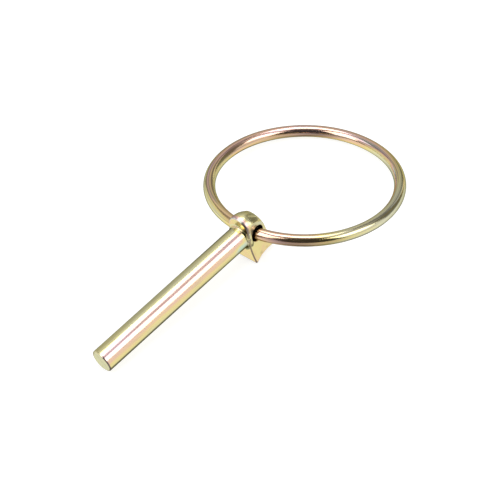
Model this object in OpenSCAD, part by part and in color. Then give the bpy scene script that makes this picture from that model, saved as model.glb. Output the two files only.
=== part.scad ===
// Linch pin with pull ring: a forged steel pin whose head is a short lug with a
// cross hole, and a round wire ring that hangs and swings in that hole.
// Millimetres, +Z up. The pin lies at rest: the low edge of the shank tip, the
// lip of the head and the far side of the ring all touch the plane z = 0.
// The shank runs along X with the head towards +X.

/* [Shank] */
// diameter of the round shank
shank_d = 6; // [5.8:0.05:6.1]
// length of the shank from its tip to the flat front face of the head
shank_l = 49.5; // [46:0.5:60]
// radius of the fillet where the shank grows out of the head
root_r = 0.8; // [0.3:0.1:1]
// lean of the cropped tip face: the upper edge reaches further than the lower one
tip_lean = 8.5; // [0:0.5:10]
// sideways turn of the cropped tip face
tip_turn = 4; // [0:0.5:6]
// radius of the rolled-over edge round the tip
tip_round = 0.7; // [0.3:0.1:1]

/* [Head] */
// depth of the lip at the foot of the head, measured down from the shank axis
lip_depth = 6.6; // [6.4:0.1:7.6]
// width of the flat land on the lip
lip_land = 0.3; // [0.1:0.1:0.6]
// half width of the head at its front face, level with the shank axis
cheek_w = 3.15; // [3.1:0.05:3.5]
// radius of the hollow flare that widens both cheeks towards the foot
flare_r = 13.9; // [12:0.1:18]
// how much each cheek closes in towards the back of the head, degrees
cheek_taper = 3.5; // [0:0.5:5]
// height of the crown above the shank axis at the front face
crown_h = 6.2; // [5.8:0.05:6.4]
// radius of the crown seen from the front
crown_r = 3.6; // [3.4:0.1:4.4]
// radius of the crown seen from the side
crown_side_r = 10.2; // [9:0.1:12]
// radius of the rounded edge between the front face and the crown
crown_edge_r = 0.5; // [0.2:0.1:0.8]
// length of the head from front to back, level with the shank axis
head_l = 6.35; // [5.9:0.05:7]
// slope of the back of the head, degrees from upright
back_slope = 14; // [8:0.5:20]
// radius of the hollow underside between the lip and the heel
sole_r = 15.5; // [12:0.5:30]

/* [Cross hole] */
// diameter of the cross hole
hole_d = 4.3; // [4.2:0.05:4.6]
// distance of the cross hole behind the front face
hole_x = 3.2; // [2.9:0.05:3.3]
// height of the cross hole above the shank axis
hole_z = 0.25; // [0:0.05:0.4]
// depth of the small bevel round each mouth of the hole
hole_bevel = 0.1; // [0.1:0.05:0.4]

/* [Ring] */
// mean diameter of the ring, middle of the wire to middle of the wire
ring_d = 47.2; // [44:0.2:56]
// diameter of the ring wire
wire_d = 3; // [2.6:0.1:3]
// gap between the two butted wire ends, which sit inside the cross hole
butt_gap = 0.3; // [0.1:0.1:0.8]

/* [How the ring sits in its loose hole] */
// turn of the ring in the hole, seen from above, degrees
ring_yaw = 4.75; // [0:0.25:5]
// sideways tip of the ring in the hole, degrees
ring_tip = 1.25; // [0:0.25:2]
// place of the wire in the hole, forward of its middle
wire_fwd = 0.15; // [0:0.05:0.2]
// place of the wire in the hole, below its middle
wire_drop = 0.4; // [0.2:0.05:0.4]

/* [Hidden] */
$fn = 96;

steel = [0.80, 0.74, 0.47];
wire_steel = [0.78, 0.70, 0.50];

sr = shank_d / 2;
hr = hole_d / 2;
wr = wire_d / 2;
rr = ring_d / 2;

// crown: a tyre-shaped disc standing on edge, its axle across the head
crown_tube = crown_side_r - crown_r;
crown_x = -1;
crown_z = crown_h - sqrt(crown_side_r * crown_side_r - crown_x * crown_x);
// circle that the crown makes in the front face, through its top and its shoulder
shoulder_z = sqrt(pow(crown_tube + sqrt(crown_r * crown_r - cheek_w * cheek_w), 2)
                  - crown_x * crown_x) + crown_z;
arch_s = crown_h - shoulder_z;
arch_r = (cheek_w * cheek_w + arch_s * arch_s) / (2 * arch_s);
arch_z = crown_h - arch_r;
heel_rise = 0.75;
heel_x = 5.7;

// rest of the pin: lower edge of the tip and lip of the head on the ground
tip_short = sr * tan(tip_lean);
pitch = atan((lip_depth - sr) / (shank_l - tip_short));
root_z = lip_depth * cos(pitch);

// turning a vector about each axis
function rx(v, a) = [v[0], v[1] * cos(a) - v[2] * sin(a), v[1] * sin(a) + v[2] * cos(a)];
function ry(v, a) = [v[0] * cos(a) + v[2] * sin(a), v[1], -v[0] * sin(a) + v[2] * cos(a)];
function rz(v, a) = [v[0] * cos(a) - v[1] * sin(a), v[0] * sin(a) + v[1] * cos(a), v[2]];
// a direction of the ring, swung by s, as it lies in the pin's frame and on the ground
function ring_dir(v, s) = ry(rx(rz(ry(v, -s), ring_yaw), -ring_tip), -pitch);
// where the middle of the wire crosses the middle of the hole
wire_at = [hole_x - wire_fwd, 0, hole_z - wire_drop];
wire_at_ground = ry(wire_at, -pitch) + [0, 0, root_z];
function ring_mid(s) = wire_at_ground + rr * ring_dir([1, 0, 0], s);
// clearance of the ring's lowest point above the ground when swung by s
function ring_low(s) = ring_mid(s)[2] - rr * sqrt(1 - pow(ring_dir([0, 0, 1], s)[2], 2)) - wr;
function settle(lo, hi, n) = n == 0 ? (lo + hi) / 2
    : ring_low((lo + hi) / 2) > 0 ? settle(lo, (lo + hi) / 2, n - 1)
    : settle((lo + hi) / 2, hi, n - 1);
swing = settle(-40, 10, 40);

// the whole thing is centred on its own footprint
mid = ring_mid(swing);
axle = ring_dir([0, 0, 1], swing);
x_hi = mid[0] + rr * sqrt(1 - axle[0] * axle[0]) + wr;
x_lo = -(shank_l + tip_short * 0.85) * cos(pitch) - (sr - tip_round * 0.5) * sin(pitch);
move = [-(x_hi + x_lo) / 2, -mid[1], 0];

// round bar with a rolled-over edge, cropped a little out of square at the tip
module shank() {
    difference() {
        translate([-shank_l - tip_short - 0.06, 0, 0]) rotate([0, 90, 0])
            rotate_extrude() {
                translate([0, tip_round]) square([sr, shank_l + tip_short + 0.56 - tip_round]);
                square([sr - tip_round, tip_round + 0.1]);
                translate([sr - tip_round, tip_round])
                    intersection() {
                        circle(tip_round);
                        translate([0, -tip_round]) square(tip_round);
                    }
            }
        translate([-shank_l, 0, 0]) rotate([0, 0, -tip_turn]) rotate([0, -tip_lean, 0])
            translate([-20, -20, -20]) cube([20, 40, 40]);
    }
}

// hollow fillet round the root of the shank
module root_fillet() {
    rotate([0, -90, 0]) rotate_extrude() difference() {
        translate([sr - 0.2, -0.2]) square([root_r + 0.2, root_r + 0.2]);
        translate([sr + root_r, root_r]) circle(root_r);
        translate([sr, root_r]) square(root_r + 1);
    }
}

// barrel-topped block that the head is trimmed from
module head_block() {
    intersection() {
        translate([crown_x, 0, crown_z]) rotate([90, 0, 0]) rotate_extrude() {
            translate([0, -crown_r]) square([crown_tube, 2 * crown_r]);
            intersection() {
                translate([crown_tube, 0]) circle(crown_r);
                translate([0, -crown_r]) square([crown_side_r, 2 * crown_r]);
            }
        }
        translate([0, -8, -3]) cube([14, 16, 14]);
    }
    translate([0, -8, -lip_depth - 1]) cube([14, 16, lip_depth + 1]);
}

// everything outside one cheek: upright above the shank axis, flared below it
module cheek_cut(side) {
    translate([0, side * cheek_w, 0]) rotate([0, 0, -side * cheek_taper]) {
        translate([0, side * flare_r, 0]) rotate([0, 90, 0])
            cylinder(r = flare_r, h = 60, center = true);
        translate([-30, side > 0 ? 0 : -20, 0]) cube([60, 20, 20]);
    }
}

// hollow sole, from the land on the lip back to the heel
module sole_cut() {
    run = heel_x - lip_land;
    chord = sqrt(run * run + heel_rise * heel_rise);
    drop = sqrt(sole_r * sole_r - chord * chord / 4);
    translate([lip_land + run / 2 + drop * heel_rise / chord, 0,
               -lip_depth + heel_rise / 2 - drop * run / chord])
        rotate([90, 0, 0]) cylinder(r = sole_r, h = 40, center = true);
    translate([-1, -20, -lip_depth - 10]) cube([20, 40, 10]);
}

// sloping back of the head
module back_cut() {
    translate([head_l, 0, 0]) rotate([0, -back_slope, 0])
        translate([0, -20, -30]) cube([20, 40, 60]);
}

// rounds the edge between the front face and the crown, down to the arch's widest point
module crown_edge_cut() {
    intersection() {
        rotate([0, 90, 0]) translate([-arch_z, 0, 0]) rotate_extrude() difference() {
            translate([arch_r - crown_edge_r, -1]) square([2, 1 + crown_edge_r]);
            translate([arch_r - crown_edge_r, crown_edge_r]) circle(crown_edge_r);
        }
        translate([-2, -8, arch_z]) cube([4, 16, 12]);
    }
}

// cross hole with a small bevel at each mouth
module cross_hole() {
    mouth = cheek_w - hole_x * tan(cheek_taper);
    translate([hole_x, 0, hole_z]) rotate([90, 0, 0]) {
        cylinder(r = hr, h = 20, center = true);
        for (e = [0, 1]) mirror([0, 0, e]) translate([0, 0, mouth - hole_bevel])
            cylinder(r1 = hr, r2 = hr + 1.5, h = 1.5);
    }
}

// the forged pin in its own frame: shank axis on X, front face of the head at x = 0
module pin_body() {
    difference() {
        union() {
            shank();
            difference() {
                union() {
                    head_block();
                    root_fillet();
                }
                cheek_cut(1);
                cheek_cut(-1);
                sole_cut();
                back_cut();
                crown_edge_cut();
            }
        }
        cross_hole();
    }
}

// round wire bent into a ring, its butted ends on the -X side
module ring_body() {
    half_gap = asin(butt_gap / ring_d);
    rotate([0, 0, -180 + half_gap])
        rotate_extrude(angle = 360 - 2 * half_gap) translate([rr, 0]) circle(wr);
}

module at_rest() { translate([0, 0, root_z] + move) rotate([0, -pitch, 0]) children(); }

module pin() { color(steel) at_rest() pin_body(); }

module ring() {
    color(wire_steel) at_rest() translate(wire_at)
        rotate([-ring_tip, 0, 0]) rotate([0, 0, ring_yaw]) rotate([0, -swing, 0])
            translate([rr, 0, 0]) ring_body();
}

pin();
ring();
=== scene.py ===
import math

import bpy
import numpy as np
from mathutils import Matrix, Vector


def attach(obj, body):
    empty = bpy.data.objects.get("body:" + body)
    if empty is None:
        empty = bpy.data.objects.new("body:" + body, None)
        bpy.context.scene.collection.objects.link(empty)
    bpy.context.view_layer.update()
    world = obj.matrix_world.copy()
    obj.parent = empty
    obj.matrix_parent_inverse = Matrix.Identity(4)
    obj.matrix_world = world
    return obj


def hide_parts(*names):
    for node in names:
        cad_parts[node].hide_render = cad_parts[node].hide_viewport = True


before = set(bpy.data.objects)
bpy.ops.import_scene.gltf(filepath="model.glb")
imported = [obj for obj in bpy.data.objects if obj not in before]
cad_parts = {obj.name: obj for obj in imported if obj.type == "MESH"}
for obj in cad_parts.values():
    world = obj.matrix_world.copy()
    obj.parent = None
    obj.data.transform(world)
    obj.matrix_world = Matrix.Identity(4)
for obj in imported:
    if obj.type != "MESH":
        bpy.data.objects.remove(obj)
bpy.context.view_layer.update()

# ---------------------------------------------------------------- dimensions, mm
SHANK_R, SHANK_L, ROOT_R = 3.0, 49.5, 0.8
TIP_LEAN, TIP_TURN = 8.5, 4.0
LIP_DEPTH, LIP_LAND = 6.6, 0.3
CHEEK_W, FLARE_R, CHEEK_TAPER = 3.15, 13.9, 3.5
CROWN_H, CROWN_R, CROWN_SIDE_R, CROWN_X = 6.2, 3.6, 10.2, -1.0
HEAD_L, BACK_SLOPE = 6.35, 14.0
SOLE_R, HEEL_RISE, HEEL_X = 15.5, 0.75, 5.7
HOLE_R, HOLE_X, HOLE_Z = 2.15, 3.2, 0.25
RING_R, WIRE_R, BUTT_GAP = 23.6, 1.5, 0.3
RING_YAW, RING_TIP, WIRE_FWD, WIRE_DROP = 4.75, 1.25, 0.15, 0.4

rad = math.radians


def rot(axis, deg):
    c, s = math.cos(rad(deg)), math.sin(rad(deg))
    return np.array({
        "x": [[1, 0, 0], [0, c, -s], [0, s, c]],
        "y": [[c, 0, s], [0, 1, 0], [-s, 0, c]],
        "z": [[c, -s, 0], [s, c, 0], [0, 0, 1]],
    }[axis])


# ---------------------------------------------------------------- how the pin and the ring lie
TIP_SHORT = SHANK_R * math.tan(rad(TIP_LEAN))
PITCH = math.degrees(math.atan((LIP_DEPTH - SHANK_R) / (SHANK_L - TIP_SHORT)))
ROOT_Z = LIP_DEPTH * math.cos(rad(PITCH))
PIN_ROT = rot("y", -PITCH)
WIRE_AT = np.array([HOLE_X - WIRE_FWD, 0, HOLE_Z - WIRE_DROP])
WIRE_GROUND = PIN_ROT @ WIRE_AT + [0, 0, ROOT_Z]


def ring_turn(swing):
    return PIN_ROT @ rot("x", -RING_TIP) @ rot("z", RING_YAW) @ rot("y", -swing)


def ring_low(swing):
    q = ring_turn(swing)
    mid = WIRE_GROUND + RING_R * q[:, 0]
    return mid[2] - RING_R * math.sqrt(1 - q[2, 2] ** 2) - WIRE_R


lo, hi = -40.0, 10.0
for _ in range(50):
    m = (lo + hi) / 2
    lo, hi = (lo, m) if ring_low(m) > 0 else (m, hi)
SWING = (lo + hi) / 2
RING_ROT = ring_turn(SWING)
mid = WIRE_GROUND + RING_R * RING_ROT[:, 0]
x_hi = mid[0] + RING_R * math.sqrt(1 - RING_ROT[0, 2] ** 2) + WIRE_R
x_lo = -(SHANK_L + TIP_SHORT * 0.85) * math.cos(rad(PITCH)) - (SHANK_R - 0.35) * math.sin(rad(PITCH))
MOVE = np.array([-(x_hi + x_lo) / 2, -mid[1], 0])
PIN_AT = np.array([0, 0, ROOT_Z]) + MOVE
RING_AT = mid + MOVE


# ---------------------------------------------------------------- rounded solid of the pin, in its own frame
def rmax(a, b, r):
    """Both at once, with a rounded edge of radius r."""
    return np.minimum(-r, np.maximum(a, b)) + np.hypot(np.maximum(r + a, 0), np.maximum(r + b, 0))


def rmin(a, b, r):
    """Either, with a hollow fillet of radius r."""
    return -rmax(-a, -b, r)


def step(lo, hi, v):
    t = np.clip((v - lo) / (hi - lo), 0, 1)
    return t * t * (3 - 2 * t)


def waves(seed, n, shortest, longest):
    """A smooth random field: n plane waves, with wavelengths in mm."""
    g = np.random.default_rng(seed)
    d = g.normal(size=(n, 3))
    d /= np.linalg.norm(d, axis=1)[:, None]
    k = 2 * math.pi / np.exp(g.uniform(math.log(shortest), math.log(longest), n))
    phase = g.uniform(0, 2 * math.pi, n)
    amp = 1 / k
    amp /= np.sqrt((amp ** 2).sum() / 2)

    def field(x, y, z):
        out = np.zeros_like(x)
        for i in range(n):
            out += amp[i] * np.sin(k[i] * (d[i, 0] * x + d[i, 1] * y + d[i, 2] * z) + phase[i])
        return out
    return field


forged = waves(11, 22, 1.6, 5.0)
rolled = waves(12, 14, 3.0, 14.0)

tip_n = rot("z", -TIP_TURN) @ rot("y", -TIP_LEAN) @ np.array([1.0, 0, 0])
back_n = rot("y", -BACK_SLOPE) @ np.array([1.0, 0, 0])
crown_z = CROWN_H - math.sqrt(CROWN_SIDE_R ** 2 - CROWN_X ** 2)
crown_tube = CROWN_SIDE_R - CROWN_R
sole_run = HEEL_X - LIP_LAND
sole_chord = math.hypot(sole_run, HEEL_RISE)
sole_fall = math.sqrt(SOLE_R ** 2 - sole_chord ** 2 / 4)
sole_x = LIP_LAND + sole_run / 2 + sole_fall * HEEL_RISE / sole_chord
sole_z = -LIP_DEPTH + HEEL_RISE / 2 - sole_fall * sole_run / sole_chord


def cheek(x, y, z, side):
    c, s = math.cos(rad(CHEEK_TAPER)), side * math.sin(rad(CHEEK_TAPER))
    yy = y - side * CHEEK_W
    v = s * x + c * yy
    flare = FLARE_R - np.hypot(v - side * FLARE_R, np.minimum(z, 0))
    return np.where(z > 0, side * v, flare)


def shank(x, y, z):
    bar = np.hypot(y, z) - SHANK_R + 0.006 * rolled(x * 0.35, y, z)
    end = -((x + SHANK_L) * tip_n[0] + y * tip_n[1] + z * tip_n[2])
    end = end + 0.03 * np.sin(0.9 * y + 0.6) * np.cos(0.8 * z)
    # the shear rolled the edge over on one side and left it crisp on the other
    roll = 0.26 + 0.34 * step(-0.6, 2.6, 0.62 * z + 0.78 * y)
    return rmax(bar, end, roll)


def head(x, y, z):
    front = -x
    radial = np.hypot(x - CROWN_X, z - crown_z)
    crown = np.where(radial > crown_tube, np.hypot(radial - crown_tube, y), np.abs(y)) - CROWN_R
    crown = crown - 4 * step(0.6, -1.6, z)
    back = (x - HEAD_L) * back_n[0] + z * back_n[2]
    sole = SOLE_R - np.hypot(x - sole_x, z - sole_z)
    d = rmax(crown, back, 0.4)
    # the crown rolls gently down towards the front, then turns sharply into it
    low = 0.26 + 0.26 * step(2.0, -1.0, y)
    roll = crown * math.cos(rad(25)) + (front + 0.04) * math.sin(rad(25)) + low
    d = rmax(d, np.where(z > -0.5, roll, -9), 0.9)
    d = rmax(d, front, 0.42)
    sides = rmax(cheek(x, y, z, 1), cheek(x, y, z, -1), 0.3)
    d = rmax(d, sides, 0.28)
    d = rmax(d, -LIP_DEPTH - z, 0.16)
    d = rmax(d, sole, 0.3)
    return d + 0.013 * forged(x, y, z) * step(-0.1, 0.9, x + 0.0 * y)


def pin_solid(x, y, z):
    d = rmin(shank(np.minimum(x, 1.0), y, z) + np.maximum(x - 1.0, 0), head(x, y, z), ROOT_R)
    hole = HOLE_R - np.hypot(x - HOLE_X, z - HOLE_Z)
    return rmax(d, hole, 0.16)


# ---------------------------------------------------------------- a closed quad mesh of a solid's surface
def skin(solid, lo, hi, h):
    n = [int(math.ceil((b - a) / h)) + 1 for a, b in zip(lo, hi)]
    ax = [lo[i] + h * np.arange(n[i]) for i in range(3)]
    F = np.empty(n, np.float32)
    for i0 in range(0, n[0], 40):
        X, Y, Z = np.meshgrid(ax[0][i0:i0 + 40], ax[1], ax[2], indexing="ij")
        F[i0:i0 + 40] = solid(X, Y, Z)
    S = F < 0
    corners = sum(S[a:n[0] - 1 + a, b:n[1] - 1 + b, c:n[2] - 1 + c].astype(np.int8)
                  for a in (0, 1) for b in (0, 1) for c in (0, 1))
    cell = (corners > 0) & (corners < 8)
    index = -np.ones(cell.shape, np.int64)
    where = np.argwhere(cell)
    index[cell] = np.arange(len(where))
    P = np.stack([ax[i][where[:, i]] + h / 2 for i in range(3)], 1)
    faces = []
    for axis in range(3):
        a = np.moveaxis(S, axis, 0)
        change = a[1:] != a[:-1]
        inside_first = np.moveaxis(a[:-1] & change, 0, axis)
        change = np.moveaxis(change, 0, axis)
        u, v = [(1, 2), (2, 0), (0, 1)][axis]
        e = np.argwhere(change)
        e = e[(e[:, u] > 0) & (e[:, v] > 0) & (e[:, u] < n[u] - 1) & (e[:, v] < n[v] - 1)]
        quad = []
        for du, dv in ((-1, -1), (0, -1), (0, 0), (-1, 0)):
            q = e.copy(); q[:, u] += du; q[:, v] += dv
            quad.append(index[q[:, 0], q[:, 1], q[:, 2]])
        quad = np.stack(quad, 1)
        flip = ~inside_first[e[:, 0], e[:, 1], e[:, 2]]
        quad[flip] = quad[flip][:, ::-1]
        faces.append(quad)
    Q = np.concatenate(faces)
    return P, Q


def gradient(solid, P, e=0.01):
    x, y, z = P.T
    g = np.stack([solid(x + e, y, z) - solid(x - e, y, z),
                  solid(x, y + e, z) - solid(x, y - e, z),
                  solid(x, y, z + e) - solid(x, y, z - e)], 1) / (2 * e)
    return g


def settle(solid, P, Q, rounds):
    """Evens the mesh out along the surface, and puts every point exactly on it."""
    def onto(P, times):
        for _ in range(times):
            g = gradient(solid, P)
            f = solid(*P.T)
            P = P - (f / np.maximum((g ** 2).sum(1), 0.2))[:, None] * g
        return P
    P = onto(P, 4)
    for _ in range(rounds):
        total = np.zeros_like(P)
        count = np.zeros(len(P))
        for k in range(4):
            a, b = Q[:, k], Q[:, (k + 1) % 4]
            for i in range(3):
                total[:, i] += np.bincount(a, P[b, i], len(P)) + np.bincount(b, P[a, i], len(P))
            count += np.bincount(a, minlength=len(P)) + np.bincount(b, minlength=len(P))
        move = total / count[:, None] - P
        g = gradient(solid, P)
        g /= np.linalg.norm(g, axis=1)[:, None]
        move -= (move * g).sum(1)[:, None] * g
        P = onto(P + 0.6 * move, 1)
    P = onto(P, 2)
    g = gradient(solid, P)
    return P, g / np.linalg.norm(g, axis=1)[:, None]


def make_mesh(name, points, quads, normals):
    me = bpy.data.meshes.new(name)
    me.vertices.add(len(points))
    me.vertices.foreach_set("co", points.astype(np.float32).ravel())
    me.loops.add(quads.size)
    me.loops.foreach_set("vertex_index", quads.astype(np.int32).ravel())
    me.polygons.add(len(quads))
    me.polygons.foreach_set("loop_start", np.arange(0, quads.size, 4, dtype=np.int32))
    me.update(calc_edges=True)
    me.validate()
    me.polygons.foreach_set("use_smooth", np.ones(len(me.polygons), bool))
    if normals is not None:
        me.normals_split_custom_set_from_vertices(normals.astype(np.float32).tolist())
    ob = bpy.data.objects.new(name, me)
    bpy.context.scene.collection.objects.link(ob)
    return ob


def place(P, turn, at):
    return (P @ turn.T + at) / 1000.0


# ---------------------------------------------------------------- the pin
P, Q = skin(pin_solid, (-51.2, -5.6, -7.4), (8.6, 5.6, 7.4), 0.15)
P, N = settle(pin_solid, P, Q, 4)
pin = make_mesh("forged_pin", place(P, PIN_ROT, PIN_AT), Q, N @ PIN_ROT.T)


def bend(solid, P, e=0.06):
    """How sharply the surface turns, per mm: high on edges, below zero in hollows."""
    out = np.zeros(len(P))
    for i in range(3):
        d = np.zeros(3)
        d[i] = e
        a, b = gradient(solid, P + d)[:, i], gradient(solid, P - d)[:, i]
        out += (a - b) / (2 * e)
    return np.clip(out, -4, 4)


def store(ob, name, values):
    """Keeps one number per point on the mesh, for the material to read."""
    ob.data.attributes.new(name, "FLOAT", "POINT").data.foreach_set("value", values.astype(np.float32))


store(pin, "bend", bend(pin_solid, P))


# ---------------------------------------------------------------- the ring: round wire, bent and butted in the hole
def ring_mesh():
    around, along = 56, 560
    half = math.asin(BUTT_GAP / 2 / RING_R)
    ease = 0.22
    phi = np.linspace(-math.pi + half, math.pi - half, along)
    drift = np.random.default_rng(7).uniform(0, 2 * math.pi, 6)
    rows, normals = [], []
    lay = 0.012 * np.sin(3 * phi + drift[0]) + 0.008 * np.sin(7 * phi + drift[1])
    lift = 0.010 * np.sin(2 * phi + drift[2]) + 0.006 * np.sin(5 * phi + drift[3])
    fade = step(0, 0.5, (math.pi - np.abs(phi)))
    t = np.linspace(0, 2 * math.pi, around, endpoint=False)

    def row(p, r, dr, dz, cap):
        c, s = math.cos(p), math.sin(p)
        x = RING_R + dr + r * np.cos(t)
        pts = np.stack([x * c, x * s, dz + r * np.sin(t)], 1)
        nr = np.stack([np.cos(t) * c, np.cos(t) * s, np.sin(t)], 1)
        if cap:
            tangent = np.array([-s, c, 0]) * cap[0]
            nr = nr * math.cos(cap[1]) + tangent * math.sin(cap[1])
        rows.append(pts); normals.append(nr)

    # each butted end: a flat face with its edge broken
    steps = 5
    for k in range(steps):
        a = math.pi / 2 * (1 - k / steps)
        inset = ease * (1 - math.sin(math.pi / 2 - a))
        row(-math.pi + half + inset / RING_R, WIRE_R - ease * (1 - math.cos(math.pi / 2 - a)), 0, 0, (-1, a))
    for i in range(along):
        p = phi[i]
        if abs(p) > math.pi - half - ease / RING_R:
            continue
        row(p, WIRE_R, lay[i] * fade[i], lift[i] * fade[i], None)
    for k in reversed(range(steps)):
        a = math.pi / 2 * (1 - k / steps)
        inset = ease * (1 - math.sin(math.pi / 2 - a))
        row(math.pi - half - inset / RING_R, WIRE_R - ease * (1 - math.cos(math.pi / 2 - a)), 0, 0, (1, a))
    n = len(rows)
    P = np.concatenate(rows)
    N = np.concatenate(normals)
    i = np.arange(n - 1)[:, None]
    j = np.arange(around)[None, :]
    a = i * around + j
    b = i * around + (j + 1) % around
    Q = np.stack([a, b, b + around, a + around], -1).reshape(-1, 4)
    return P, N, Q, n, around


P, N, Q, rows_n, around = ring_mesh()
# check the facing of the quads against the normals, then close both ends
tri = P[Q]
facing = np.cross(tri[:, 1] - tri[:, 0], tri[:, 2] - tri[:, 0])
if ((facing * N[Q[:, 0]]).sum(1) > 0).mean() < 0.5:
    Q = Q[:, ::-1]
ring = make_mesh("wire_ring", place(P, RING_ROT, RING_AT), Q, None)
import bmesh
bm = bmesh.new()
bm.from_mesh(ring.data)
bm.verts.ensure_lookup_table()
bm.faces.new([bm.verts[i] for i in range(around)])
bm.faces.new([bm.verts[(rows_n - 1) * around + i] for i in range(around)])
bmesh.ops.recalc_face_normals(bm, faces=bm.faces)
bm.to_mesh(ring.data)
bm.free()
for poly in ring.data.polygons:
    poly.use_smooth = len(poly.vertices) == 4


# ---------------------------------------------------------------- materials
class Nodes:
    """Short names for building a node tree."""

    def __init__(self, name):
        self.mat = bpy.data.materials.new(name)
        self.mat.use_nodes = True
        self.nt = self.mat.node_tree
        self.bsdf = self.nt.nodes["Principled BSDF"]

    def add(self, kind, **settings):
        n = self.nt.nodes.new(kind)
        for k, v in settings.items():
            setattr(n, k, v)
        return n

    def put(self, socket, value):
        if isinstance(value, bpy.types.NodeSocket):
            self.nt.links.new(value, socket)
        else:
            socket.default_value = value

    def math(self, op, a, b=None, c=None, clamp=False):
        n = self.add("ShaderNodeMath", operation=op, use_clamp=clamp)
        for s, v in zip(n.inputs, (a, b, c)):
            if v is not None:
                self.put(s, v)
        return n.outputs[0]

    def sum(self, *parts):
        out = parts[0]
        for p in parts[1:]:
            out = self.math("ADD", out, p)
        return out

    def times(self, a, b):
        return self.math("MULTIPLY", a, b)

    def span(self, v, lo, hi, a=0.0, b=1.0, smooth=True):
        """v from lo to hi becomes a to b, held at both ends."""
        n = self.add("ShaderNodeMapRange", interpolation_type="SMOOTHSTEP" if smooth else "LINEAR", clamp=True)
        for s, x in zip(("Value", "From Min", "From Max", "To Min", "To Max"), (v, lo, hi, a, b)):
            self.put(n.inputs[s], x)
        return n.outputs[0]

    def split(self, v):
        n = self.add("ShaderNodeSeparateXYZ")
        self.put(n.inputs[0], v)
        return n.outputs[0], n.outputs[1], n.outputs[2]

    def join(self, x, y, z):
        n = self.add("ShaderNodeCombineXYZ")
        for s, v in zip(n.inputs, (x, y, z)):
            self.put(s, v)
        return n.outputs[0]

    def dot(self, v, d):
        n = self.add("ShaderNodeVectorMath", operation="DOT_PRODUCT")
        self.put(n.inputs[0], v)
        n.inputs[1].default_value = d
        return n.outputs["Value"]

    def noise(self, v, scale=1.0, detail=3.0, rough=0.5, shift=0.0):
        n = self.add("ShaderNodeTexNoise", noise_dimensions="4D")
        self.put(n.inputs["Vector"], v)
        n.inputs["W"].default_value = shift
        n.inputs["Scale"].default_value = scale
        n.inputs["Detail"].default_value = detail
        n.inputs["Roughness"].default_value = rough
        return n.outputs["Fac"]

    def ramp(self, v, stops):
        n = self.add("ShaderNodeValToRGB")
        e = n.color_ramp.elements
        while len(e) < len(stops):
            e.new(0.5)
        for el, (p, c) in zip(e, stops):
            el.position = p
            el.color = (*c, 1)
        self.put(n.inputs[0], v)
        return n.outputs[0]

    def mix(self, f, a, b, how="MIX"):
        n = self.add("ShaderNodeMix", data_type="RGBA", blend_type=how)
        self.put(n.inputs[0], f)
        for s, v in zip([s for s in n.inputs if s.type == "RGBA"], (a, b)):
            self.put(s, v if isinstance(v, bpy.types.NodeSocket) else (*v, 1))
        return [s for s in n.outputs if s.type == "RGBA"][0]

    def attribute(self, name):
        return self.add("ShaderNodeAttribute", attribute_name=name).outputs["Fac"]

    def frame(self, turn, at):
        """The piece's own frame in mm, and its normals in that frame."""
        inverse = Matrix(turn.tolist())
        tc = self.add("ShaderNodeTexCoord")
        m = self.add("ShaderNodeMapping", vector_type="TEXTURE")
        m.inputs["Location"].default_value = at / 1000
        m.inputs["Rotation"].default_value = inverse.to_euler()
        m.inputs["Scale"].default_value = (0.001, 0.001, 0.001)
        self.put(m.inputs["Vector"], tc.outputs["Object"])
        n = self.add("ShaderNodeMapping", vector_type="VECTOR")
        n.inputs["Rotation"].default_value = inverse.transposed().to_euler()
        self.put(n.inputs["Vector"], tc.outputs["Normal"])
        return m.outputs[0], n.outputs[0]

    def bump(self, height, distance_mm, strength, under=None):
        n = self.add("ShaderNodeBump")
        n.inputs["Strength"].default_value = strength
        n.inputs["Distance"].default_value = distance_mm / 1000
        self.put(n.inputs["Height"], height)
        if under is not None:
            self.put(n.inputs["Normal"], under)
        return n.outputs[0]


# colour of the chromate film as it gets thicker, pale green gold to mauve and on to green
FILM = [
    (0.00, (0.74, 0.73, 0.53)),
    (0.12, (0.80, 0.77, 0.50)),
    (0.25, (0.85, 0.79, 0.44)),
    (0.38, (0.89, 0.78, 0.35)),
    (0.48, (0.91, 0.74, 0.35)),
    (0.58, (0.90, 0.66, 0.39)),
    (0.68, (0.88, 0.60, 0.44)),
    (0.78, (0.85, 0.56, 0.50)),
    (0.88, (0.82, 0.58, 0.62)),
    (1.00, (0.62, 0.76, 0.60)),
]

# the same film on the smooth wire, a little deeper in colour
WIRE_FILM = [(p, c) if not 0.4 < p < 0.8 else (p, (c[0], c[1] * 0.975, c[2] * 0.87)) for p, c in FILM]


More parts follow.
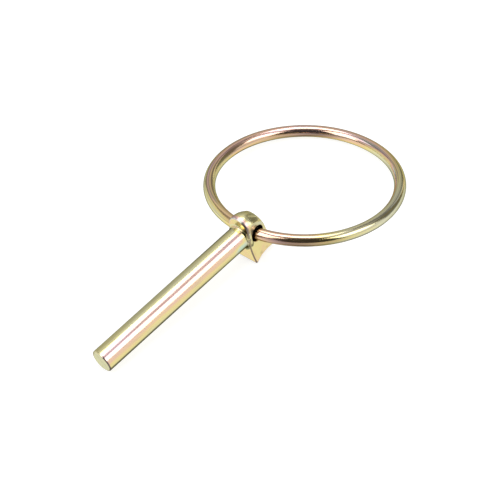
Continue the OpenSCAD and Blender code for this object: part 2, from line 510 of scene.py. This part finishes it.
def pin_finish():
    g = Nodes("yellow_zinc_forging")
    p, n = g.frame(PIN_ROT, PIN_AT)
    x, y, z = g.split(p)
    bent = g.attribute("bend")
    on_head = g.span(x, -0.9, -0.2)
    # the film colour round the bar follows its facing direction, a painted iridescent sheen, strongest along one side
    # and faint at right angles to it; drift and streaks are uneven film
    drift = g.noise(g.join(g.times(x, 0.075), g.times(y, 0.33), g.times(z, 0.33)), 1.0, 2.0, 0.5, 1.7)
    streak = g.noise(g.join(g.times(x, 0.16), g.times(y, 2.2), g.times(z, 2.2)), 1.0, 3.0, 0.55, 4.1)
    nx, ny, nz = g.split(n)
    about = g.sum(g.times(g.math("ARCTAN2", nz, g.times(ny, -1.0)), 0.5 / math.pi), 0.5)
    around = g.ramp(about, [(u, (v,) * 3) for u, v in (
        (0.00, 0.45), (0.06, 0.62), (0.14, 0.70), (0.22, 0.50), (0.31, 0.30), (0.38, 0.18), (0.43, 0.15), (0.472, 0.26),
        (0.522, 0.40), (0.545, 0.50), (0.570, 0.62), (0.598, 0.66), (0.630, 0.70), (0.655, 0.78), (0.675, 0.80),
        (0.692, 0.75), (0.708, 0.58), (0.724, 0.32), (0.75, 0.16), (0.79, 0.25), (0.833, 0.17), (0.89, 0.05),
        (0.944, 0.22), (1.00, 0.45))])
    ends = g.sum(g.span(x, -33, -43, 0, 0.07), g.span(x, -16, -9, 0, 0.05), -0.02)
    root = g.span(x, -2.2, -1.0, 0, -0.22)
    uneven = g.sum(g.times(g.sum(drift, -0.5), 0.34), g.times(g.sum(streak, -0.5), 0.30))
    calm = g.sum(1.0, g.times(g.times(g.span(about, 0.630, 0.650), g.span(about, 0.715, 0.695)), -0.75))
    bar = g.sum(around, ends, root, g.times(uneven, calm))
    # the cropped tip is a fresh cut, with only a thin film
    cropped = g.span(nx, -0.80, -0.95)
    bar = g.sum(g.times(bar, g.math("SUBTRACT", 1.0, cropped)), g.times(cropped, g.sum(-0.05, g.times(streak, 0.20))))
    # the film on the forged head: mostly gold, patchy
    patch = g.noise(p, 0.42, 2.0, 0.5, 7.3)
    fine = g.noise(p, 1.9, 3.0, 0.55, 2.2)
    head_film = g.sum(0.27, g.span(z, -0.5, -4.0, 0.0, 0.20), g.times(g.span(x, 0.5, -0.1), g.span(z, -0.5, 4.0, 0.0, 0.20)),
                      g.times(g.sum(patch, -0.5), 0.50), g.times(g.sum(fine, -0.5), 0.16))
    edge = g.span(bent, 0.45, 1.5)
    hollow = g.span(bent, -0.35, -1.3)
    brow = g.times(g.times(g.span(x, 1.7, 0.8), g.span(z, 1.8, 3.4)), g.span(nx, -0.95, -0.75))
    cheek = g.span(g.dot(n, (0.0, -1.0, 0.0)), 0.80, 0.95)
    head_film = g.sum(head_film, g.times(edge, 0.10), g.times(brow, 0.50), g.times(g.times(cheek, g.span(z, 0.8, 2.2)), -0.26),
                      g.times(hollow, g.span(y, 0.8, -0.6, -0.30, -0.34)))
    film = g.sum(g.times(bar, g.math("SUBTRACT", 1.0, on_head)), g.times(head_film, on_head))
    # one thick green patch under the root, as the part hung while it drained
    spot = g.add("ShaderNodeVectorMath", operation="DISTANCE")
    g.put(spot.inputs[0], g.join(g.times(x, 0.5), y, z))
    spot.inputs[1].default_value = (-1.30, -2.98, -0.05)
    colour = g.ramp(g.sum(film, g.span(spot.outputs["Value"], 1.7, 0.8, 0.0, -0.20)), FILM)
    colour = g.mix(g.span(spot.outputs["Value"], 1.12, 0.40, 0.0, 0.85), colour, (0.60, 0.78, 0.60))
    # small dull specks, worn edges, and the hollows tinted a darker olive
    specks = g.noise(p, 3.4, 2.0, 0.6, 9.0)
    colour = g.mix(g.span(specks, 0.66, 0.74, 0.0, 0.35), colour, (0.42, 0.36, 0.22))
    drawn = g.noise(g.join(g.times(x, 0.13), g.times(y, 1.9), g.times(z, 1.9)), 1.0, 2.0, 0.6, 8.4)
    colour = g.mix(g.times(g.span(drawn, 0.54, 0.70, 0.0, 0.34), g.math("SUBTRACT", 1.0, on_head)), colour, (0.55, 0.50, 0.36))
    colour = g.mix(g.times(g.span(bent, 1.6, 3.4), g.span(fine, 0.42, 0.6, 0.1, 0.6)), colour, (0.86, 0.82, 0.72))
    colour = g.mix(g.span(bent, -0.50, -1.6, 0.0, 0.15), colour, (0.50, 0.46, 0.20))
    # painted dark reflection line down the front of the cheeks, and painted shade where the ring shades the bar
    painted_edge_line = g.times(g.times(g.span(bent, 0.5, 1.3), g.span(x, 0.8, 0.4)),
                     g.math("MAXIMUM", g.times(g.span(z, 2.6, 1.2), 0.80), g.span(y, -0.8, -1.5)))
    colour = g.mix(g.times(painted_edge_line, 0.72), colour, (0.22, 0.16, 0.14))
    # painted shade packed into the root fillet on the cheek side
    painted_root_shade = g.times(g.times(g.span(x, -0.85, -0.45), g.span(bent, -0.10, -0.50)), g.span(y, -1.1, -2.1))
    colour = g.mix(g.times(painted_root_shade, g.span(fine, 0.30, 0.55, 0.88, 0.72)), colour, (0.13, 0.12, 0.05))
    # painted shade inside the hole
    painted_bore_shade = g.add("ShaderNodeVectorMath", operation="DISTANCE")
    g.put(painted_bore_shade.inputs[0], g.join(x, 0.0, z))
    painted_bore_shade.inputs[1].default_value = (3.2, 0.0, 0.25)
    painted_bore_shade = g.times(g.span(painted_bore_shade.outputs["Value"], 2.35, 2.18), g.span(g.math("ABSOLUTE", y), 2.95, 2.70))
    colour = g.mix(g.times(painted_bore_shade, 0.85), colour, (0.06, 0.05, 0.04))
    # painted shade line along the lower edge of the cropped tip
    painted_tip_edge_shade = g.times(g.times(g.span(bent, 0.6, 1.2), g.span(x, -47.8, -48.6)), g.span(ny, -0.25, -0.60))
    colour = g.mix(g.times(painted_tip_edge_shade, 0.75), colour, (0.22, 0.16, 0.17))
    # painted shade line along the underside of the bar, where the floor under it lies in shadow
    under = g.times(g.times(g.span(about, 0.430, 0.446), g.span(about, 0.490, 0.474)), g.span(x, -13.0, -20.0))
    colour = g.mix(g.times(under, 0.50), colour, (0.30, 0.28, 0.20))
    # painted shade on the upper side of the bar next to the head, where the ring darkens it
    shaded = g.times(g.times(g.span(about, 0.815, 0.86), g.span(about, 0.97, 0.92)), g.span(x, -21.0, -9.0))
    colour = g.mix(g.times(g.times(shaded, 0.92), g.math("SUBTRACT", 1.0, on_head)), colour, (0.23, 0.22, 0.16))
    g.put(g.bsdf.inputs["Base Color"], colour)
    smear = g.noise(g.join(g.times(x, 0.3), y, z), 0.8, 3.0, 0.6, 3.3)
    g.put(g.bsdf.inputs["Roughness"], g.sum(g.span(smear, 0.3, 0.7, 0.15, 0.21), g.times(on_head, 0.05),
                                            g.times(g.times(on_head, 0.09), cheek), g.times(g.times(on_head, 0.08), brow),
                                            g.span(specks, 0.62, 0.74, 0.0, 0.12)))
    # drawn lines along the bar, hammer scale and small pits on the head
    lines = g.noise(g.join(g.times(x, 0.10), g.times(y, 7.0), g.times(z, 7.0)), 1.0, 3.0, 0.6, 5.0)
    nicks = g.noise(g.join(g.times(x, 0.8), g.times(y, 2.0), g.times(z, 2.0)), 1.0, 2.0, 0.5, 6.0)
    scale = g.noise(p, 1.3, 3.0, 0.5, 8.0)
    pits = g.span(g.noise(p, 2.6, 2.0, 0.5, 11.0), 0.64, 0.74)
    height = g.sum(g.times(g.math("SUBTRACT", 1.0, on_head), g.sum(g.times(lines, 0.12), g.times(nicks, 0.05))),
                   g.times(on_head, g.sum(scale, g.times(pits, -0.5))))
    g.put(g.bsdf.inputs["Normal"], g.bump(height, 0.012, 0.5))
    g.bsdf.inputs["Metallic"].default_value = 1.0
    g.put(g.bsdf.inputs["Specular Tint"], g.mix(g.times(cropped, 0.55), (0.30, 0.30, 0.22), (1.0, 1.0, 0.8)))
    return g.mat


def ring_finish():
    g = Nodes("yellow_zinc_wire")
    p, n = g.frame(RING_ROT, RING_AT)
    x, y, z = g.split(p)
    turn = g.math("ARCTAN2", y, x)                      # round the ring, 0 opposite the hole
    out = g.sum(g.math("SQRT", g.sum(g.times(x, x), g.times(y, y))), -RING_R)
    along = g.times(turn, RING_R)
    # long streaks of film along the wire
    drift = g.noise(g.join(g.times(along, 0.055), g.times(out, 0.30), g.times(z, 0.30)), 1.0, 2.0, 0.5, 12.4)
    streak = g.noise(g.join(g.times(along, 0.08), g.times(out, 2.4), g.times(z, 2.4)), 1.0, 3.0, 0.55, 3.6)
    zone = g.ramp(g.sum(g.times(turn, 0.5 / math.pi), 0.5), [
        (0.00, (0.66,) * 3), (0.05, (0.71,) * 3), (0.11, (0.60,) * 3), (0.17, (0.16,) * 3), (0.30, (0.06,) * 3),
        (0.39, (0.26,) * 3), (0.50, (0.52,) * 3), (0.60, (0.54,) * 3), (0.74, (0.42,) * 3), (0.84, (0.34,) * 3),
        (0.92, (0.44,) * 3), (0.97, (0.60,) * 3), (1.00, (0.66,) * 3)])
    # the film also follows the facing direction round the wire, a painted iridescent sheen that changes along the ring
    side = g.dot(g.join(out, 0.0, z), (-0.50 / WIRE_R, 0.0, 0.87 / WIRE_R))
    lean = g.ramp(g.sum(g.times(turn, 0.5 / math.pi), 0.5), [
        (0.00, (0.05,) * 3), (0.20, (0.03,) * 3), (0.38, (0.10,) * 3), (0.46, (0.28,) * 3), (0.54, (0.30,) * 3),
        (0.66, (0.36,) * 3), (0.78, (0.30,) * 3), (0.88, (0.14,) * 3), (1.00, (0.05,) * 3)])
    film = g.sum(zone, g.times(side, lean), g.times(g.sum(drift, -0.5), 0.50), g.times(g.sum(streak, -0.5), 0.62))
    phi = g.times(g.math("ARCTAN2", z, out), 180 / math.pi)          # round the wire, 0 outward, 90 up
    theta = g.times(turn, 180 / math.pi)

    def band(v, lo, hi, soft):
        return g.times(g.span(v, lo - soft, lo + soft), g.span(v, hi + soft, hi - soft))

    # single streaks, lengthwise
    inner = g.span(out, -0.55, -1.15)
    outer = g.span(out, 0.70, 1.30)
    film = g.sum(film, g.times(g.times(band(theta, -62, -8, 8), band(phi, 92, 136, 5)), 0.13),
                 g.times(g.times(band(theta, -44, -2, 8), band(phi, 116, 146, 6)), 0.24),
                 g.times(g.times(band(theta, -78, -12, 8), inner), -0.34),
                 g.times(g.times(band(theta, 96, 160, 10), inner), -0.34),
                 g.times(g.times(band(theta, 96, 165, 10), outer), -0.22),
                 g.times(g.times(band(theta, -98, -52, 8), band(phi, 44, 58, 4)), 0.34),
                 g.times(g.times(band(theta, -136, -98, 8), band(phi, -2, 20, 6)), 0.22),
                 g.times(g.times(band(theta, -88, -40, 8), band(phi, 124, 148, 5)), 0.80),
                 g.times(g.times(band(theta, 104, 148, 8), band(phi, 66, 84, 6)), 0.30))
    colour = g.ramp(film, WIRE_FILM)
    # dark bands along the wire at set angles round it: painted dark reflections
    painted_dark_bands = g.sum(g.times(g.times(band(theta, -56, -12, 8), band(phi, 103, 113, 3)), 0.80),
                 g.times(g.times(band(theta, -100, -40, 8), band(phi, 63, 71, 4)), 0.60),
                 g.times(g.times(band(theta, -95, -30, 8), band(phi, 86, 93, 4)), 0.45),
                 g.times(g.times(band(theta, -136, -98, 6), band(phi, 46, 60, 4)), 0.60),
                 g.times(g.times(band(theta, -134, -98, 8), band(phi, 62, 88, 6)), 0.42),
                 g.times(g.times(band(theta, -138, -98, 8), band(phi, 17, 26, 3)), 0.50),
                 g.times(g.times(band(theta, -175, -142, 6), band(phi, 45, 58, 5)), 0.35),
                 g.times(g.times(band(theta, -175, -142, 6), band(phi, -60, -18, 6)), 0.35),
                 g.times(g.times(band(theta, 64, 100, 8), band(phi, 146, 168, 6)), 0.40),
                 g.times(g.times(band(theta, -16, 24, 8), band(phi, 102, 114, 4)), 0.55),
                 g.times(g.times(band(theta, 104, 148, 8), band(phi, 58, 68, 3)), 0.80), g.times(g.times(band(theta, 104, 148, 8), band(phi, 82, 90, 3)), 0.75),
                 g.times(g.times(band(theta, 100, 160, 8), band(phi, 106, 118, 4)), 0.50),
                 g.times(g.times(band(theta, 64, 100, 8), band(phi, 58, 76, 5)), 0.45))
    colour = g.mix(painted_dark_bands, colour, (0.36, 0.31, 0.27))
    specks = g.noise(p, 3.2, 2.0, 0.6, 2.0)
    colour = g.mix(g.span(specks, 0.66, 0.74, 0.0, 0.3), colour, (0.42, 0.35, 0.24))
    drawn = g.noise(g.join(g.times(along, 0.07), g.times(out, 2.7), g.times(z, 2.7)), 1.0, 2.0, 0.6, 8.4)
    clean = g.sum(1.0, g.times(band(theta, -186, -142, 6), -0.75))
    colour = g.mix(g.times(g.span(drawn, 0.54, 0.64, 0.0, 0.62), clean), colour, (0.46, 0.42, 0.33))
    rub = g.span(g.noise(p, 0.6, 3.0, 0.6, 5.0), 0.58, 0.72, 0.0, 0.18)
    colour = g.mix(rub, colour, (0.84, 0.76, 0.58))
    g.put(g.bsdf.inputs["Base Color"], colour)
    smear = g.noise(g.join(g.times(along, 0.25), out, z), 0.9, 3.0, 0.6, 6.3)
    g.put(g.bsdf.inputs["Roughness"], g.sum(g.span(smear, 0.3, 0.7, 0.13, 0.19), g.span(specks, 0.62, 0.74, 0.0, 0.1)))
    lines = g.noise(g.join(g.times(along, 0.08), g.times(out, 6.0), g.times(z, 6.0)), 1.0, 3.0, 0.6, 5.0)
    dents = g.noise(g.join(g.times(along, 0.5), g.times(out, 1.4), g.times(z, 1.4)), 1.0, 2.0, 0.5, 6.0)
    g.put(g.bsdf.inputs["Normal"], g.bump(g.sum(g.times(lines, 0.16), g.times(dents, 0.22)), 0.012, 0.5))
    g.bsdf.inputs["Metallic"].default_value = 1.0
    g.bsdf.inputs["Specular Tint"].default_value = (0.30, 0.30, 0.22, 1)
    return g.mat


pin.data.materials.append(pin_finish())
ring.data.materials.append(ring_finish())

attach(pin, "pin")
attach(ring, "ring")
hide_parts("pin")
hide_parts("ring")

# ---------------------------------------------------------------- floor
def plane(name, z, half, base, roughness, ior, glow):
    me = bpy.data.meshes.new(name)
    me.from_pydata([(-half, -half, z), (half, -half, z), (half, half, z), (-half, half, z)], [], [(0, 1, 2, 3)])
    o = bpy.data.objects.new(name, me)
    bpy.context.scene.collection.objects.link(o)
    m = bpy.data.materials.new(name)
    m.use_nodes = True
    b = m.node_tree.nodes["Principled BSDF"]
    b.inputs["Base Color"].default_value = (base, base, base, 1)
    b.inputs["Roughness"].default_value = roughness
    b.inputs["IOR"].default_value = ior
    b.inputs["Emission Color"].default_value = (1, 1, 1, 1)
    b.inputs["Emission Strength"].default_value = glow
    me.materials.append(m)
    return o


# the white floor; the metal's reflections see, in its place, the pale lower half of a light tent
floor = plane("floor", 0, 3.0, 0.40, 0.8, 1.3, 0.78)
floor.visible_glossy = False
floor.visible_diffuse = False
floor.visible_shadow = False

# radiance of the tent below the horizon, by azimuth from +Y towards +X: dim on the side that faces the room
TENT = [(-180, 0.80), (-168, 0.66), (-156, 0.58), (-143, 0.54), (-125, 0.38), (-108, 0.36), (-94, 0.52), (-82, 0.84),
        (-70, 0.98), (-40, 0.95), (-8, 1.05), (15, 0.94), (38, 0.66), (60, 0.78), (85, 0.88), (110, 0.84),
        (135, 0.94), (155, 0.90), (180, 0.80)]
# and how much of that is left towards straight down
STEEP = [(-180, 0.52), (-100, 0.45), (-60, 0.72), (-25, 1.05), (-8, 1.12), (20, 0.60), (55, 0.45), (105, 0.34), (122, 0.50), (150, 0.75),
         (180, 0.75)]


def tent(radius=1.6, rings=10, segments=48):
    verts, faces = [], []
    for i in range(rings):
        e = -math.pi / 2 * i / rings
        for j in range(segments):
            t = 2 * math.pi * j / segments
            verts.append((radius * math.cos(e) * math.sin(t), radius * math.cos(e) * math.cos(t),
                          radius * math.sin(e) - 0.002))
    for i in range(rings - 1):
        for j in range(segments):
            k = (j + 1) % segments
            faces.append((i * segments + j, i * segments + k, (i + 1) * segments + k, (i + 1) * segments + j))
    faces.append(tuple((rings - 1) * segments + j for j in range(segments)))
    me = bpy.data.meshes.new("tent")
    me.from_pydata(verts, [], faces)
    o = bpy.data.objects.new("tent", me)
    bpy.context.scene.collection.objects.link(o)
    g = Nodes("tent")
    tc = g.add("ShaderNodeTexCoord")
    x, y, z = g.split(tc.outputs["Object"])
    turn = g.sum(g.times(g.math("ARCTAN2", x, y), 0.5 / math.pi), 0.5)
    level = g.ramp(turn, [((az + 180) / 360, (v,) * 3) for az, v in TENT])
    depth = g.times(z, 1 / radius)
    steep = g.ramp(turn, [((az + 180) / 360, (v,) * 3) for az, v in STEEP])
    sink = g.span(depth, -0.74, -0.86)
    glow = g.times(level, g.sum(1.0, g.times(sink, g.sum(steep, -1.0))))
    g.put(g.bsdf.inputs["Emission Strength"], glow)
    g.bsdf.inputs["Emission Color"].default_value = (1, 1, 1, 1)
    g.bsdf.inputs["Base Color"].default_value = (0.02, 0.02, 0.02, 1)
    g.bsdf.inputs["Roughness"].default_value = 0.9
    me.materials.append(g.mat)
    o.visible_camera = False
    o.visible_diffuse = False
    o.visible_shadow = False
    return o


tent()


# ---------------------------------------------------------------- lights
def softbox(name, az, el, dist, w, h, radiance, spread=180):
    """A square soft light that faces the object from azimuth az (from +Y towards +X) and elevation el."""
    d = Vector((math.sin(rad(az)) * math.cos(rad(el)), math.cos(rad(az)) * math.cos(rad(el)), math.sin(rad(el))))
    L = bpy.data.lights.new(name, "AREA")
    L.shape = "RECTANGLE"
    L.size, L.size_y = w, h
    L.energy = radiance * math.pi * w * h
    o = bpy.data.objects.new(name, L)
    o.location = d * dist
    o.rotation_euler = (-d).to_track_quat("-Z", "Y").to_euler()
    bpy.context.scene.collection.objects.link(o)
    return o


def card(name, az, el, dist, w, h, colour, strength):
    """A flat card seen only in reflections: a dull panel of the given brightness."""
    d = Vector((math.sin(rad(az)) * math.cos(rad(el)), math.cos(rad(az)) * math.cos(rad(el)), math.sin(rad(el))))
    me = bpy.data.meshes.new(name)
    me.from_pydata([(-w / 2, -h / 2, 0), (w / 2, -h / 2, 0), (w / 2, h / 2, 0), (-w / 2, h / 2, 0)], [], [(0, 1, 2, 3)])
    o = bpy.data.objects.new(name, me)
    o.location = d * dist
    o.rotation_euler = (-d).to_track_quat("Z", "Y").to_euler()
    bpy.context.scene.collection.objects.link(o)
    m = bpy.data.materials.new(name)
    m.use_nodes = True
    b = m.node_tree.nodes["Principled BSDF"]
    b.inputs["Base Color"].default_value = (*colour, 1)
    b.inputs["Roughness"].default_value = 0.9
    b.inputs["Emission Color"].default_value = (1, 1, 1, 1)
    b.inputs["Emission Strength"].default_value = strength
    me.materials.append(m)
    o.visible_camera = False
    o.visible_shadow = False
    return o


softbox("side_box_left", 166, 38.5, 0.75, 0.54, 0.41, 2.4)
softbox("side_box_right", -76, 43, 0.75, 0.40, 0.60, 2.3)
softbox("fill_right", -42, 54, 0.80, 0.36, 0.40, 1.2)
softbox("top_box", 56, 73.5, 0.80, 0.44, 0.40, 3.2)
card("dark_flag", -133, 31, 1.15, 1.50, 1.75, (0.01, 0.01, 0.01), 0.02)
card("low_left", 161, 8, 1.25, 1.10, 0.55, (0.05, 0.05, 0.05), 0.90)
card("gap_panel", 140, 62, 1.20, 0.80, 0.60, (0.05, 0.05, 0.05), 0.62)
card("back_high", 40, 46, 1.25, 0.90, 0.50, (0.05, 0.05, 0.05), 0.66)
card("crown_card", 138, 74, 0.80, 0.20, 0.13, (0.05, 0.05, 0.05), 2.00)
card("back_panel", 42, 16, 1.30, 1.10, 1.00, (0.05, 0.05, 0.05), 0.50)
card("back_strip", 88, 20, 1.15, 0.14, 0.70, (0.05, 0.05, 0.05), 0.80)
card("back_flag", 114, 24, 1.30, 0.90, 0.85, (0.02, 0.02, 0.02), 0.14)
card("side_panel", -20, 12, 1.30, 1.60, 1.00, (0.05, 0.05, 0.05), 0.72)

world = bpy.data.worlds.new("studio")
bpy.context.scene.world = world
world.use_nodes = True
wb = world.node_tree.nodes["Background"]
wb.inputs["Color"].default_value = (1, 1, 1, 1)
wb.inputs["Strength"].default_value = 0.27

# ---------------------------------------------------------------- camera
CAM_AZ, CAM_EL, CAM_ROLL = -46.01, 42.057, 4.436
CAM_F, CAM_Z = 2661.18, 641.65
CAM_TX, CAM_TY = -0.913 + 0.5, -3.762 + 0.5
a, e, r = rad(CAM_AZ), rad(CAM_EL), rad(CAM_ROLL)
fwd = np.array([-math.sin(a) * math.cos(e), math.cos(a) * math.cos(e), -math.sin(e)])
right = np.array([math.cos(a), math.sin(a), 0])
down = np.cross(fwd, right)
R2 = math.cos(r) * right + math.sin(r) * down
D2 = -math.sin(r) * right + math.cos(r) * down
M = np.array([R2, D2, fwd])
T = np.array([CAM_TX * CAM_Z / CAM_F, CAM_TY * CAM_Z / CAM_F, CAM_Z])
loc = (PIN_AT - M.T @ T) / 1000
cd = bpy.data.cameras.new("camera")
cam = bpy.data.objects.new("camera", cd)
bpy.context.scene.collection.objects.link(cam)
cam.matrix_world = Matrix((
    (R2[0], -D2[0], -fwd[0], loc[0]),
    (R2[1], -D2[1], -fwd[1], loc[1]),
    (R2[2], -D2[2], -fwd[2], loc[2]),
    (0, 0, 0, 1)))
cd.sensor_fit = "HORIZONTAL"
cd.sensor_width = 36
cd.lens = CAM_F / 480 * 36
cd.clip_start, cd.clip_end = 0.01, 20
bpy.context.scene.camera = cam

bpy.context.scene.view_settings.view_transform = "Standard"
bpy.context.scene.view_settings.look = "None"
